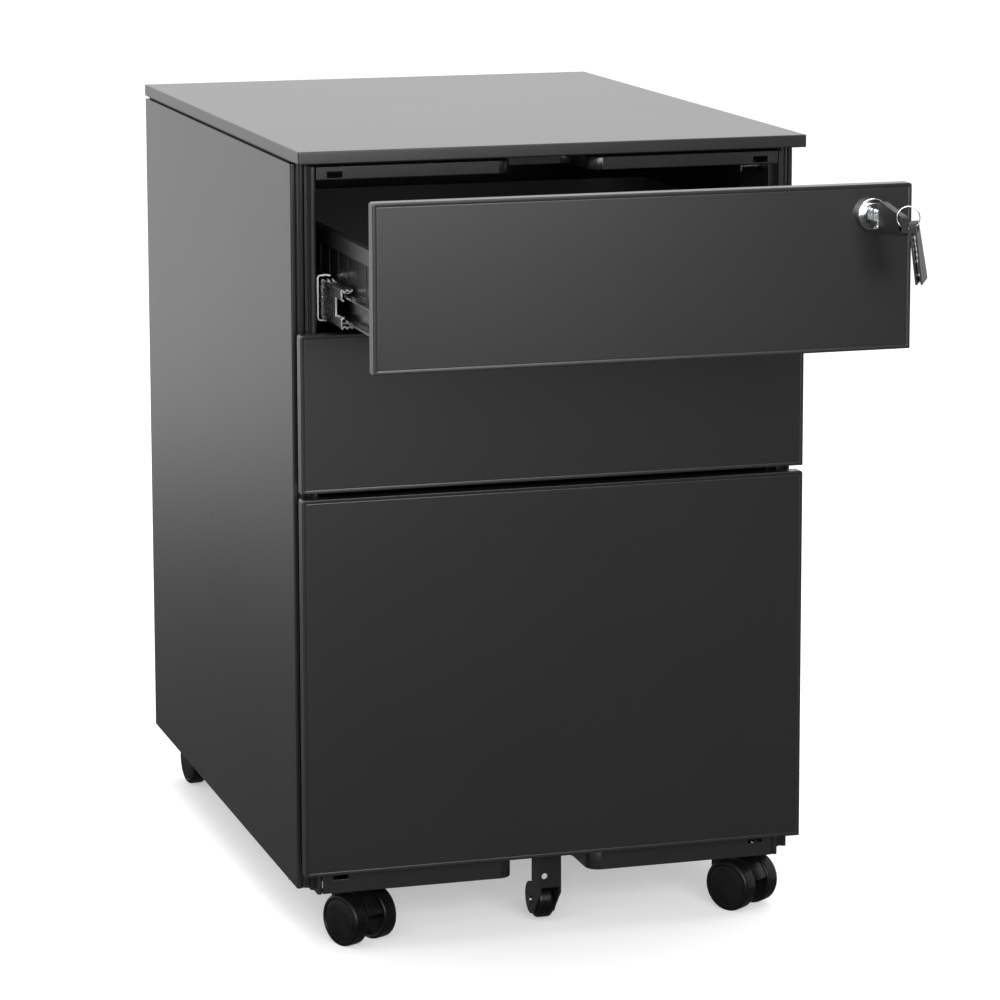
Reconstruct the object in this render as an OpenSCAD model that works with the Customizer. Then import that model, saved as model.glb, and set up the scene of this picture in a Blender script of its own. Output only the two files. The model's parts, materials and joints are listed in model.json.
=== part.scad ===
// Three-drawer mobile filing pedestal in folded sheet steel, top drawer part open.
// Origin: on the floor, under the centre of the whole object as it stands.
// +X to the right seen from the front, +Y to the back, +Z up. Millimetres.

/* [Cabinet] */
// Width over the top panel
cab_w = 390; // [386:1:400]
// Depth from the drawer fronts to the outside of the back panel
cab_d = 540; // [530:1:560]
// Height from the floor to the top
cab_h = 602; // [598:1:620]
// Height of the top panel's folded edge
top_edge_h = 9.5; // [8:0.5:12]
// Thickness of the sheet steel
sheet = 1; // [0.8:0.1:1]
// How far the drawer fronts stand in front of the uprights
front_recess = 27.2; // [26:0.2:28]

/* [Drawers] */
// Height of the two upper drawer fronts
upper_front_h = 117; // [114:1:118]
// Gap between one drawer front and the next
front_gap = 4.2; // [3:0.1:5]
// Depth of a drawer front's folded sides
front_t = 10; // [9:0.5:11]
// Height of the lowest drawer front's bottom edge
front_bottom_z = 62.8; // [61:0.2:64]
// How far the top drawer stands open
open_len = 206; // [100:1:220]
// Outside width of a drawer tray
tray_w = 323; // [323:0.5:324]
// Length of a drawer tray
tray_len = 470; // [450:1:480]

/* [Slides] */
// Height of the outer slide member
slide_h = 35; // [34:0.5:36]
// Length of the outer and inner slide members
slide_len = 450; // [440:1:455]
// Length of the middle slide member
slide_mid_len = 400; // [380:1:405]

/* [Lock] */
// Distance of the lock from the centre plane
lock_x = 164; // [160:0.5:165]
// Distance of the lock below the top
lock_drop = 33.3; // [32.5:0.1:34]
// Length of a key's plastic bow
bow_len = 42.5; // [41:0.5:44]

/* [Casters] */
// Diameter of a caster wheel
wheel_d = 40; // [38:0.5:40]
// Width of one caster wheel
wheel_w = 13; // [11:0.5:13]
// Distance of the caster swivel axes from the centre plane
caster_x = 152; // [148:1:154]
// Distance of the front swivel axes behind the drawer fronts
caster_front_in = 50; // [48:1:54]
// Distance of the rear swivel axes from the back
caster_rear_in = 45; // [44:1:60]
// Diameter of the anti-tilt wheel
fifth_d = 28; // [26:0.5:29]
// Height of the anti-tilt wheel above the floor
fifth_clear = 4.3; // [3:0.1:5]

/* [Hidden] */
$fn = 48;
eps = 0.01;
half_w = cab_w / 2;
screw_head = 1.2;
bow_behind = 19.5;                       // gap from the drawer front to the bow
spare_half_w = 11.1;                     // half the broad end of a key's bow
ring_out = 38.5;                         // ring hole in front of the bow's inner end
ring_hole_drop = 2.5;
bow_t = 5;
pivot_in = 4.5;                          // key pivot in front of the bow's inner end
spare_lean = 8.4;
spare_twist = 32;
ring_twist = 18;
ring_half_gap = 3.8;                     // from the ring's middle to each key
key_reach = bow_behind + ring_out + 2 * ring_half_gap * sin(ring_twist)
    + (spare_half_w - ring_hole_drop) * cos(spare_twist) + bow_t / 2 * sin(spare_twist);
whole_len = key_reach + open_len + cab_d + screw_head;
front_y = -whole_len / 2 + key_reach + open_len;   // closed drawer-front plane

top_z = cab_h - top_edge_h;              // underside of the top panel's edge
side_top_z = top_z - 2.2;                // top of the side panels, below a shadow gap
side_bottom_z = 47;
side_x = half_w - 0.7;                   // outside of the side panels
side_flange = 13;
return_x = side_x - 9.8;                 // inner edge of a side panel's front return
upright_out_x = return_x - 0.6;
upright_in_x = 174.9;
upright_back = 90;
inner_y = front_recess - 12.7;           // front of the rails and of the uprights' noses
nose_x = [178.5, 181.8];
top_rail_h = 9.5;
bottom_rail_h = 16;
rail_half_w = 177.9;
rail_flange = 12.6;
bottom_rail_z = 44.9;
upright_top_z = side_top_z - 1.3;        // also the top of the top rail
rail_slot = [11.4, 4.4];
rail_slot_x = 164;
recess_hw = 30;
recess_back = 62;
recess_r = 8;
recess_mouth_r = 10;
base_z = 48;

front_w = cab_w - 0.8;
front_r = 2.2;
front_top_z = cab_h - 12.5;
tray_x = tray_w / 2;
hem_w = 4.5;
hem_h = 12;
upper_tray_drop = 48.5;                  // tray rim below the top of an upper front
upper_tray_lift = 6;                     // tray floor above the bottom of an upper front
upper_slide_lift = 19;
low_tray_drop = 25;
low_tray_lift = 8;
low_slide_lift = 87;
divider_pitch = 26.4;
divider_slot = [2.4, 22];

top_front = [front_top_z - upper_front_h, front_top_z];
mid_front = [top_front[0] - front_gap - upper_front_h, top_front[0] - front_gap];
low_front = [front_bottom_z, mid_front[0] - front_gap];
top_tray = [top_front[0] + upper_tray_lift, top_front[1] - upper_tray_drop];
mid_tray = [mid_front[0] + upper_tray_lift, mid_front[1] - upper_tray_drop];
low_tray = [low_front[0] + low_tray_lift, low_front[1] - low_tray_drop];
slide_z = [top_front[0] + upper_slide_lift, mid_front[0] + upper_slide_lift,
           low_front[0] + low_slide_lift];

slide_t = 1.2;
outer_tip_x = tray_x + 3;
middle_out_x = upright_in_x - 2.3;
middle_tip_x = tray_x + 2.3;
middle_half_h = 14.6;
inner_tip_x = tray_x + 8;
inner_half_h = 9.8;
middle_back = 43;                        // closed middle member behind the outer one
middle_open = 60;                        // its lead on the outer one with open_len
slide_hole_y = [40, 220, 430];

lock_z = cab_h - lock_drop;
barrel_r = 9.4;
bezel_r = 11.7;
bezel_t = 5.5;
plug_r = 6.5;
barrel_len = 22;
plug_len = 24;
cam_reach = 18;
bow_slot = 2.4;
blade_t = 1.8;
blade_h = 8;
blade_len = 30;
pivot_y = -bow_behind - pivot_in;
ring_hole_y = -bow_behind - ring_out;
ring_r = 7.8;
ring_wire_r = 0.8;
ring_hole_r = 3.3;
ring_hole_slot = 1.6;                    // the ring hole is this much taller than wide

caster_trail = 17;
wheel_mid = 14.5;
hood_half_w = 7.2;
axle_web_half_w = 4.2;
fender_lip_z = 24.5;
kingpin_r = 4;
axle_r = 2.5;
hood_top_z = 42;
plate_t = 2;
plate_w = 38;
caster_at = [[-caster_x, caster_front_in], [caster_x, caster_front_in],
             [-caster_x, cab_d - caster_rear_in], [caster_x, cab_d - caster_rear_in]];
caster_turn = [-64, -57, 95, 35];        // direction of each trail at rest

fifth_front = 16.5;
fifth_half_w = 8.6;
fifth_sheet = 1.5;
fifth_cheek_d = 20.6;
fifth_axis_y = fifth_front + 24;
fifth_axis_z = fifth_clear + fifth_d / 2;
fifth_axle_r = 3;
fifth_lobe = [fifth_front + 25, 19.8, 12.4];
fifth_web_z = 33.8;
fifth_hole = [-4.5, 42.9, 2.4];

bar_x = 186;
bar_y = 42;
bar_w = 13;
bar_z = [60, 577];
arm_z = 574;
arm_tip_x = 159;
guide_z = [115, 440];

paint = "#2b2c2e";
zinc = "#b9bcc0";
chrome = "#d9dcdf";
plastic = "#161617";

// ---------- helpers ----------

// A box from its lowest to its highest corner.
module box(a, b) { translate(a) cube(b - a); }

// Places children so that y = 0 is the plane of the closed drawer fronts.
module at_front(y = 0) { translate([0, front_y + y, 0]) children(); }

// Repeats children on both sides of the centre plane.
module both_sides() {
    children();
    mirror([1, 0, 0]) children();
}

// Extrudes an outline drawn in X and Z from y0 to y1.
module xz(y0, y1) { translate([0, y1, 0]) rotate([90, 0, 0]) linear_extrude(y1 - y0) children(); }

// Extrudes an outline drawn in Y and Z from x0 to x1.
module yz(x0, x1) {
    translate([x0, 0, 0]) rotate([90, 0, 90]) linear_extrude(x1 - x0) children();
}

// A rod along Y at [x, z].
module rod_y(x, z, r, y0, y1) { translate([x, y0, z]) rotate([-90, 0, 0]) cylinder(r = r, h = y1 - y0); }

// A rod along X at [y, z].
module rod_x(y, z, r, x0, x1) { translate([x0, y, z]) rotate([0, 90, 0]) cylinder(r = r, h = x1 - x0); }

// ---------- carcass ----------

module top_panel() color(paint) at_front() difference() {
    union() {
        box([-half_w, 0, top_z], [half_w, cab_d, cab_h]);
        box([-half_w + 3, front_recess + 2, side_top_z], [half_w - 3, cab_d - 3, top_z + eps]);
    }
    box([-half_w + sheet, sheet, top_z + sheet], [half_w - sheet, cab_d - sheet, cab_h - sheet]);
    box([-half_w + 3 + sheet, front_recess + 2 + sheet, side_top_z + sheet],
        [half_w - 3 - sheet, cab_d - 3 - sheet, top_z + 2 * sheet]);
    box([-half_w + 20, front_recess + 20, side_top_z - 1], [half_w - 20, cab_d - 20, top_z]);
}

// The right-hand side panel: skin, front return, and flanges on its other edges.
module side_shape() difference() {
    union() {
        box([side_x - sheet, front_recess, side_bottom_z], [side_x, cab_d - sheet, side_top_z]);
        box([return_x, front_recess, side_bottom_z], [side_x, front_recess + sheet, side_top_z]);
        box([return_x, front_recess, side_bottom_z], [return_x + sheet, front_recess + 12, side_top_z]);
        box([side_x - side_flange, front_recess + 12, side_top_z - sheet],
            [side_x, cab_d - sheet, side_top_z]);
        box([side_x - side_flange, front_recess + 12, side_bottom_z],
            [side_x, cab_d - sheet, side_bottom_z + sheet]);
        box([side_x - side_flange, cab_d - 2 * sheet, side_bottom_z],
            [side_x, cab_d - sheet, side_top_z]);
    }
    box([side_x - 1.6, front_recess - 1, side_bottom_z - 1],
        [side_x - 1.1, front_recess + 0.6, side_top_z + 1]);
}

module right_side_panel() color(paint) at_front() side_shape();
module left_side_panel() color(paint) at_front() mirror([1, 0, 0]) side_shape();

module back_panel() color(paint) at_front()
    box([-side_x, cab_d - sheet, side_bottom_z], [side_x, cab_d, side_top_z]);

module base_pan() color(paint) at_front() difference() {
    box([-side_x + sheet, front_recess + 15, base_z],
        [side_x - sheet, cab_d - 2 * sheet, base_z + sheet]);
    box([-recess_hw - 10, 0, base_z - 1], [recess_hw + 10, recess_back + 3, base_z + 2]);
    both_sides() box([upright_in_x - 1, 0, base_z - 1], [half_w, upright_back + 1, base_z + 2]);
}

// Plan of the rail's recess, grown by t.
module recess_plan(t) {
    hw = recess_hw + t;
    back = recess_back + t;
    r = recess_r + t;
    mouth = recess_mouth_r - t;
    y0 = inner_y - 1;
    translate([-hw, y0]) square([2 * hw, back - r - y0]);
    translate([-hw + r, y0]) square([2 * (hw - r), back - y0]);
    for (s = [-1, 1]) translate([s * (hw - r), back - r]) circle(r);
    for (s = [-1, 1]) difference() {
        translate([s > 0 ? hw - 1 : -hw - mouth, y0]) square([mouth + 1, inner_y + t + mouth - y0]);
        translate([s * (hw + mouth), inner_y + t + mouth]) circle(mouth);
    }
}

// Plan of everything behind the rail's face, with the face set back by t.
module rail_plan(t, depth) difference() {
    union() {
        translate([-rail_half_w, inner_y + t]) square([2 * rail_half_w, depth - t]);
        translate([-recess_hw - 14, inner_y + t])
            square([2 * recess_hw + 28, recess_back + depth - inner_y - t]);
    }
    recess_plan(t);
}

// A front rail of height h standing on z = 0 with its flange at the bottom.
module rail(h) difference() {
    union() {
        linear_extrude(sheet) rail_plan(0, rail_flange);
        linear_extrude(h) difference() {
            rail_plan(0, rail_flange);
            rail_plan(sheet, rail_flange + 10);
            translate([-half_w, recess_back + 2 * sheet]) square([cab_w, 60]);
            for (s = [-1, 1]) translate([s * (recess_hw + 24) - 10, inner_y + 2])
                square([20, recess_back]);
        }
    }
    for (s = [-1, 1]) translate([s * rail_slot_x, inner_y, h - 1.2 - rail_slot[1] / 2])
        cube([rail_slot[0], 4, rail_slot[1]], center = true);
}

module bottom_front_rail() color(paint) at_front() translate([0, 0, bottom_rail_z])
    rail(bottom_rail_h);
module top_front_rail() color(paint) at_front()
    translate([0, 0, upright_top_z]) mirror([0, 0, 1]) rail(top_rail_h);

// The right-hand front upright: a channel with its inner wall carrying the slides, and a folded
// nose that stands forward beside the rails.
module upright_shape() union() {
    box([nose_x[0], inner_y, bottom_rail_z], [nose_x[1], inner_y + sheet, upright_top_z]);
    for (x = [nose_x[0], nose_x[1] - sheet])
        box([x, inner_y, bottom_rail_z], [x + sheet, front_recess + 0.4 + sheet, upright_top_z]);
    box([upright_in_x, front_recess + 0.4, bottom_rail_z],
        [upright_out_x, front_recess + 0.4 + sheet, upright_top_z]);
    box([upright_in_x, front_recess + 0.4, bottom_rail_z],
        [upright_in_x + sheet, upright_back, upright_top_z]);
    box([upright_out_x - sheet, front_recess + 0.4, side_bottom_z + sheet],
        [upright_out_x, front_recess + 32, side_top_z - sheet]);
    box([upright_out_x - sheet, front_recess + 31, side_bottom_z + sheet],
        [side_x - sheet, front_recess + 32, side_top_z - sheet]);
}

module left_front_upright() color(paint) at_front() mirror([1, 0, 0]) upright_shape();

module right_front_upright() color(paint) at_front() difference() {
    upright_shape();
    box([upright_in_x - 1, bar_y - 1, arm_z - 4], [upright_out_x + 1, bar_y + bar_w + 1, side_top_z]);
}

module rear_uprights() color(paint) at_front() both_sides() union() {
    box([upright_in_x, 425, base_z + sheet], [upright_in_x + sheet, 470, side_top_z - sheet]);
    box([upright_in_x, 469, base_z + sheet], [side_x - sheet, 470, side_top_z - sheet]);
}

// ---------- slides ----------

// One outer member, a channel open towards the drawer, at height z.
module outer_member(z) {
    h = slide_h / 2;
    y = [front_recess + 0.4, front_recess + slide_len];
    box([upright_in_x - slide_t, y[0], z - h], [upright_in_x, y[1], z + h]);
    for (s = [-1, 1]) box([outer_tip_x, y[0], z + s * (h - slide_t / 2) - slide_t / 2],
        [upright_in_x, y[1], z + s * (h - slide_t / 2) + slide_t / 2]);
}

module slide_outer_members() color(zinc) at_front() both_sides()
    for (z = slide_z) outer_member(z);

module slide_screws() color(zinc) at_front() both_sides()
    for (z = slide_z, y = slide_hole_y)
        rod_x(y, z, 3, upright_in_x - slide_t - 0.7, upright_in_x - slide_t);

// The middle members of one drawer, their front ends at y.
module middle_members(z, y) both_sides() {
    h = middle_half_h;
    box([middle_out_x - slide_t, y, z - h], [middle_out_x, y + slide_mid_len, z + h]);
    for (s = [-1, 1]) box([middle_tip_x, y, z + s * (h - slide_t / 2) - slide_t / 2],
        [middle_out_x, y + slide_mid_len, z + s * (h - slide_t / 2) + slide_t / 2]);
}

// The inner members of one drawer, fixed to the sides of its tray.
module inner_members(z) both_sides() {
    h = inner_half_h;
    y = [front_t + 2, front_t + 2 + slide_len];
    box([tray_x, y[0], z - h], [tray_x + slide_t, y[1], z + h]);
    for (s = [-1, 1]) box([tray_x, y[0], z + s * (h - slide_t / 2) - slide_t / 2],
        [inner_tip_x, y[1], z + s * (h - slide_t / 2) + slide_t / 2]);
}

module top_slide_inner() color(zinc) at_front(-open_len) inner_members(slide_z[0]);
module middle_slide_inner() color(zinc) at_front() inner_members(slide_z[1]);
module bottom_slide_inner() color(zinc) at_front() inner_members(slide_z[2]);
module top_slide_middle() color(zinc) at_front() middle_members(slide_z[0], front_recess - middle_open);
module middle_slide_middle() color(zinc) at_front() middle_members(slide_z[1], front_recess + middle_back);
module bottom_slide_middle() color(zinc) at_front() middle_members(slide_z[2], front_recess + middle_back);

// ---------- drawers ----------

// Outline of a drawer front between two heights, drawn in by t, with round top corners.
module front_outline(zr, t) {
    r = front_r - t;
    hw = front_w / 2 - t;
    translate([-hw, zr[0] + t]) square([2 * hw, zr[1] - zr[0] - 2 * t - r]);
    translate([-hw + r, zr[0] + t]) square([2 * (hw - r), zr[1] - zr[0] - 2 * t]);
    for (s = [-1, 1]) translate([s * (hw - r), zr[1] - t - r]) circle(r);
}

module front_skin(zr) difference() {
    xz(0, front_t) front_outline(zr, 0);
    xz(sheet, front_t + 1) front_outline(zr, sheet);
}

module front_liner(zr) difference() {
    xz(3, front_t) front_outline(zr, sheet);
    xz(2, front_t - sheet) front_outline(zr, 2 * sheet);
}

// A tray between two heights with hemmed sides; slotted for dividers if asked.
module tray(zr, slotted) difference() {
    union() {
        box([-tray_x, front_t, zr[0]], [tray_x, front_t + tray_len, zr[0] + sheet]);
        box([-tray_x, front_t + tray_len - sheet, zr[0]], [tray_x, front_t + tray_len, zr[1]]);
        both_sides() {
            box([tray_x - sheet, front_t, zr[0]], [tray_x, front_t + tray_len, zr[1]]);
            box([tray_x - sheet, front_t, zr[1] - sheet],
                [tray_x + hem_w, front_t + tray_len, zr[1]]);
            box([tray_x + hem_w - sheet, front_t, zr[1] - hem_h],
                [tray_x + hem_w, front_t + tray_len, zr[1]]);
        }
    }
    if (slotted) for (i = [1:16])
        translate([0, front_t + i * divider_pitch, zr[1] - hem_h - 3 - divider_slot[1] / 2])
            cube([cab_w, divider_slot[0], divider_slot[1]], center = true);
}

module top_drawer_front() color(paint) at_front(-open_len) difference() {
    front_skin(top_front);
    rod_y(lock_x, lock_z, barrel_r + 0.1, -1, 3);
}
module top_drawer_liner() color(paint) at_front(-open_len) difference() {
    front_liner(top_front);
    rod_y(lock_x, lock_z, barrel_r + 0.1, 2, front_t + 1);
}
module top_drawer_tray() color(paint) at_front(-open_len) tray(top_tray, true);
module middle_drawer_front() color(paint) at_front() front_skin(mid_front);
module middle_drawer_liner() color(paint) at_front() front_liner(mid_front);
module middle_drawer_tray() color(paint) at_front() tray(mid_tray, true);
module bottom_drawer_front() color(paint) at_front() front_skin(low_front);
module bottom_drawer_liner() color(paint) at_front() front_liner(low_front);
module bottom_drawer_tray() color(paint) at_front() tray(low_tray, false);

// ---------- lock and keys ----------

// Turns a profile drawn as [radius, distance in front of the drawer] about the lock's axis.
module lock_turned() at_front(-open_len) translate([lock_x, 0, lock_z]) rotate([90, 0, 0])
    rotate_extrude() children();

module lock_housing() color(chrome) lock_turned() polygon([
    [plug_r + 0.08, -barrel_len], [barrel_r, -barrel_len], [barrel_r, 0], [bezel_r, 0],
    [bezel_r, bezel_t - 2.2], [bezel_r - 0.6, bezel_t - 0.9], [bezel_r - 1.7, bezel_t - 0.3],
    [bezel_r - 2.6, bezel_t - 1.2], [bezel_r - 3.2, bezel_t - 1.4], [bezel_r - 3.6, bezel_t - 0.3],
    [plug_r + 0.9, bezel_t], [plug_r + 0.08, bezel_t]]);

module lock_nut() color(zinc) at_front(-open_len) difference() {
    translate([lock_x, front_t, lock_z]) rotate([-90, 0, 0]) cylinder(r = 13.3, h = 4, $fn = 6);
    rod_y(lock_x, lock_z, barrel_r + 0.05, front_t - 1, front_t + 5);
}

module lock_plug() color(chrome) at_front(-open_len) difference() {
    rod_y(lock_x, lock_z, plug_r, -bezel_t - 0.3, plug_len);
    box([lock_x - 1.2, -bezel_t - 1, lock_z - 4.4], [lock_x + 1.2, 12, lock_z + 4.4]);
}

module lock_cam() color(zinc) at_front(-open_len) xz(plug_len, plug_len + 2) {
    translate([lock_x, lock_z]) circle(6);
    translate([lock_x - cam_reach + 5, lock_z - 5]) square([cam_reach - 5, 10]);
    translate([lock_x - cam_reach + 5, lock_z]) circle(5);
}

// A key's blade, pivot at the origin, pointing along +Y, its cut edge upwards.
module blade() difference() {
    union() {
        yz(-blade_t / 2, blade_t / 2) {
            circle(blade_h / 2 + 0.6);
            translate([0, -blade_h / 2]) square([blade_len, blade_h]);
        }
        rod_x(0, 0, 3.2, -blade_t / 2, blade_t / 2);
    }
    rod_x(0, 0, 1.55, -2, 2);
    for (i = [0:4]) translate([0, 11 + 4 * i, blade_h / 2]) rotate([45, 0, 0])
        cube([4, 1.7 + 0.5 * (i % 3), 1.7 + 0.5 * (i % 3)], center = true);
}

// A key's bow, pivot at the origin, its free end towards -Y, its slot open downwards.
module bow() {
    inner = pivot_in;
    outer = pivot_in - bow_len;
    ring = pivot_in - ring_out;
    difference() {
        yz(-bow_t / 2, bow_t / 2) polygon([
            [inner, -10.3], [inner - 0.8, -spare_half_w], [outer + 2.5, -8], [outer + 0.6, -7.2],
            [outer, -5.6], [outer, 2.6], [outer + 0.8, 4.4], [outer + 2.4, 5.4],
            [inner - 6, spare_half_w], [inner - 0.8, spare_half_w], [inner, 10.3]]);
        box([-bow_slot / 2, ring + 2.8, -12], [bow_slot / 2, inner + 1, 5]);
        rod_x(ring, -ring_hole_drop, ring_hole_r, -4, 4);
        rod_x(ring, -ring_hole_drop + ring_hole_slot, ring_hole_r, -4, 4);
        box([-4, ring - ring_hole_r, -ring_hole_drop],
            [4, ring + ring_hole_r, -ring_hole_drop + ring_hole_slot]);
    }
    rod_x(0, 0, 1.5, -bow_t / 2, bow_t / 2);
}

// Places a key in the lock, its pivot at the origin of the children.
module in_lock() at_front(-open_len) translate([lock_x, pivot_y, lock_z]) children();

// Places the spare key, hung from the ring beside the first key's bow.
module on_ring() at_front(-open_len)
    translate([lock_x, ring_hole_y, lock_z - ring_hole_drop]) rotate([0, 0, -ring_twist])
    translate([2 * ring_half_gap, 0, 0]) rotate([0, 0, ring_twist]) rotate([0, -spare_lean, 0])
    rotate([0, 0, -spare_twist]) rotate([-90, 0, 0])
    translate([0, ring_out - pivot_in, ring_hole_drop]) children();

module key_blade() color(chrome) in_lock() blade();
module key_bow() color(plastic) in_lock() bow();
module key_ring() color(chrome) at_front(-open_len)
    translate([lock_x, ring_hole_y, lock_z - ring_hole_drop]) rotate([0, 0, -ring_twist])
    translate([ring_half_gap, 0, sqrt(ring_r * ring_r - ring_half_gap * ring_half_gap)])
    rotate([90, 0, 0]) rotate_extrude() translate([ring_r, 0]) circle(ring_wire_r, $fn = 16);
module spare_key_bow() color(plastic) on_ring() bow();
module spare_key_blade() color(chrome) on_ring() rotate([180, 0, 0]) blade();

// ---------- central locking ----------

module lock_bar() color(zinc) at_front() union() {
    box([bar_x, bar_y, bar_z[0]], [bar_x + 2, bar_y + bar_w, bar_z[1]]);
    box([arm_tip_x, bar_y + 2, arm_z], [bar_x + 2, bar_y + 12, arm_z + 1.5]);
    box([arm_tip_x, bar_y + 2, arm_z - 3.5], [arm_tip_x + 1.5, bar_y + 12, arm_z + 1.5]);
}

module lock_bar_guides() color(plastic) at_front() for (z = guide_z) difference() {
    box([upright_out_x, bar_y - 2.5, z], [bar_x + 5, bar_y + bar_w + 2.5, z + 14]);
    box([bar_x - 0.4, bar_y - 0.4, z - 1], [bar_x + 2.4, bar_y + bar_w + 0.4, z + 15]);
}

// ---------- anti-tilt wheel ----------

module fifth_cheek() {
    polygon([[fifth_front, low_tray[0]], [fifth_front, fifth_web_z - 4.2],
        [fifth_lobe[0] - 5.5, fifth_lobe[1] - fifth_lobe[2] + 1.2], [fifth_lobe[0], fifth_lobe[1]],
        [fifth_lobe[0], fifth_lobe[1] + fifth_lobe[2]],
        [fifth_front + fifth_cheek_d, fifth_lobe[1] + fifth_lobe[2] - 0.8],
        [fifth_front + fifth_cheek_d, low_tray[0]]]);
    translate([fifth_lobe[0], fifth_lobe[1]]) circle(fifth_lobe[2]);
}

module anti_tilt_bracket() color(paint) at_front() difference() {
    union() {
        both_sides() yz(fifth_half_w - fifth_sheet, fifth_half_w) fifth_cheek();
        box([-fifth_half_w, fifth_front, fifth_web_z],
            [fifth_half_w, fifth_front + fifth_sheet, low_tray[0]]);
        box([-fifth_half_w, fifth_front, low_tray[0] - fifth_sheet],
            [fifth_half_w, fifth_front + fifth_cheek_d, low_tray[0]]);
    }
    rod_x(fifth_axis_y, fifth_axis_z, fifth_axle_r + 0.02, -20, 20);
    rod_y(fifth_hole[0], fifth_hole[1], fifth_hole[2], fifth_front - 1, fifth_front + 3);
}

module anti_tilt_axle() color(zinc) at_front()
    rod_x(fifth_axis_y, fifth_axis_z, fifth_axle_r, -fifth_half_w - 1.2, fifth_half_w + 1.2);

// Half profile of a wheel with rounded edges: bore, width and outside radius.
module wheel_profile(bore, half, r, edge) {
    translate([bore, -half]) square([r - edge - bore, 2 * half]);
    translate([bore, -half + edge]) square([r - bore, 2 * (half - edge)]);
    for (s = [-1, 1]) translate([r - edge, s * (half - edge)]) circle(edge);
}

module anti_tilt_wheel() color(plastic) at_front()
    translate([0, fifth_axis_y, fifth_axis_z]) rotate([0, 90, 0])
    rotate_extrude() wheel_profile(fifth_axle_r + 0.05, 6.6, fifth_d / 2, 3.2);

// ---------- casters ----------

// Places children at caster i, with +X along its trail.
module at_caster(i) at_front()
    translate([caster_at[i][0], caster_at[i][1], 0]) rotate([0, 0, caster_turn[i]]) children();

module caster_plates() color(zinc) at_front() for (p = caster_at) translate([p[0], p[1], 0]) {
    box([-plate_w / 2, -plate_w / 2, base_z - plate_t], [plate_w / 2, plate_w / 2, base_z]);
    translate([0, 0, 26]) cylinder(r = kingpin_r, h = base_z - plate_t - 26);
}

module caster_screws() color(zinc) at_front() for (p = caster_at, sx = [-1, 1], sy = [-1, 1])
    translate([p[0] + sx * 14.5, p[1] + sy * 14.5, base_z - plate_t - screw_head])
        cylinder(r = 3, h = screw_head);

// Side view of a hood's fender, between the wheels.
module fender_outline() difference() {
    union() {
        translate([caster_trail, wheel_d / 2]) circle(wheel_d / 2 - 1);
        translate([-7, fender_lip_z]) square([caster_trail, hood_top_z - 2.6 - fender_lip_z]);
    }
    translate([-10, -10]) square([60, 10 + fender_lip_z]);
}

// Side view of the web that carries the axle.
module axle_web_outline() {
    translate([caster_trail, wheel_d / 2]) circle(5.5);
    translate([caster_trail - 12, wheel_d / 2]) square([17.5, fender_lip_z - wheel_d / 2 + 1]);
}

module caster_hood(i) color(plastic) at_caster(i) difference() {
    union() {
        translate([0, hood_half_w, 0]) rotate([90, 0, 0])
            linear_extrude(2 * hood_half_w) fender_outline();
        translate([0, axle_web_half_w, 0]) rotate([90, 0, 0])
            linear_extrude(2 * axle_web_half_w) axle_web_outline();
        translate([0, 0, 22]) cylinder(r = hood_half_w, h = hood_top_z - 22);
    }
    translate([0, 0, 24]) cylinder(r = kingpin_r + 0.05, h = 30);
    translate([caster_trail, 20, wheel_d / 2]) rotate([90, 0, 0]) cylinder(r = axle_r + 0.02, h = 40);
}

module caster_axle(i) color(zinc) at_caster(i)
    translate([caster_trail, wheel_mid + 3.5, wheel_d / 2]) rotate([90, 0, 0])
    cylinder(r = axle_r, h = 2 * wheel_mid + 7);

// Profile of a wheel as [radius, distance from its inner face], hollow on the inner side.
module caster_wheel_profile() {
    r = wheel_d / 2;
    w = wheel_w;
    difference() {
        union() {
            translate([0, 0]) square([r - 2.5, w]);
            translate([0, 2.5]) square([r, w - 5]);
            translate([r - 2.5, 2.5]) circle(2.5);
            translate([r - 2.5, w - 2.5]) circle(2.5);
        }
        translate([-1, -1]) square([axle_r + 0.05 + 1, 1 + w - 2.2]);
        translate([axle_r + 2.6, -1]) square([r - axle_r - 5.8, 5]);
        translate([r - 5, w - 0.7]) square([1, 2]);
    }
}

// Wheel of caster i on side s of its hood.
module caster_wheel(i, s) color(plastic) at_caster(i)
    translate([caster_trail, s * (wheel_mid - wheel_w / 2), wheel_d / 2])
    rotate([s > 0 ? -90 : 90, 0, 0]) rotate_extrude() caster_wheel_profile();

// ---------- fasteners ----------

module back_panel_screws() color(zinc) at_front()
    for (s = [-1, 1], z = [70, 230, 400, 570]) rod_y(s * (side_x - 8), z, 3.2, cab_d, cab_d + screw_head);

top_panel();
left_side_panel();
right_side_panel();
back_panel();
base_pan();
top_front_rail();
bottom_front_rail();
left_front_upright();
right_front_upright();
rear_uprights();
slide_outer_members();
slide_screws();
caster_plates();
caster_screws();
back_panel_screws();
lock_bar_guides();
lock_bar();
top_drawer_front();
top_drawer_liner();
top_drawer_tray();
top_slide_inner();
top_slide_middle();
middle_drawer_front();
middle_drawer_liner();
middle_drawer_tray();
middle_slide_inner();
middle_slide_middle();
bottom_drawer_front();
bottom_drawer_liner();
bottom_drawer_tray();
bottom_slide_inner();
bottom_slide_middle();
lock_housing();
lock_nut();
lock_plug();
lock_cam();
key_blade();
key_bow();
key_ring();
spare_key_bow();
spare_key_blade();
anti_tilt_bracket();
anti_tilt_axle();
anti_tilt_wheel();
caster_hood(0);  // caster_hood_front_left
caster_hood(1);  // caster_hood_front_right
caster_hood(2);  // caster_hood_rear_left
caster_hood(3);  // caster_hood_rear_right
caster_axle(0);  // caster_axle_front_left
caster_axle(1);  // caster_axle_front_right
caster_axle(2);  // caster_axle_rear_left
caster_axle(3);  // caster_axle_rear_right
caster_wheel(0, -1);  // wheel_front_left_a
caster_wheel(0, 1);  // wheel_front_left_b
caster_wheel(1, -1);  // wheel_front_right_a
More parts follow.
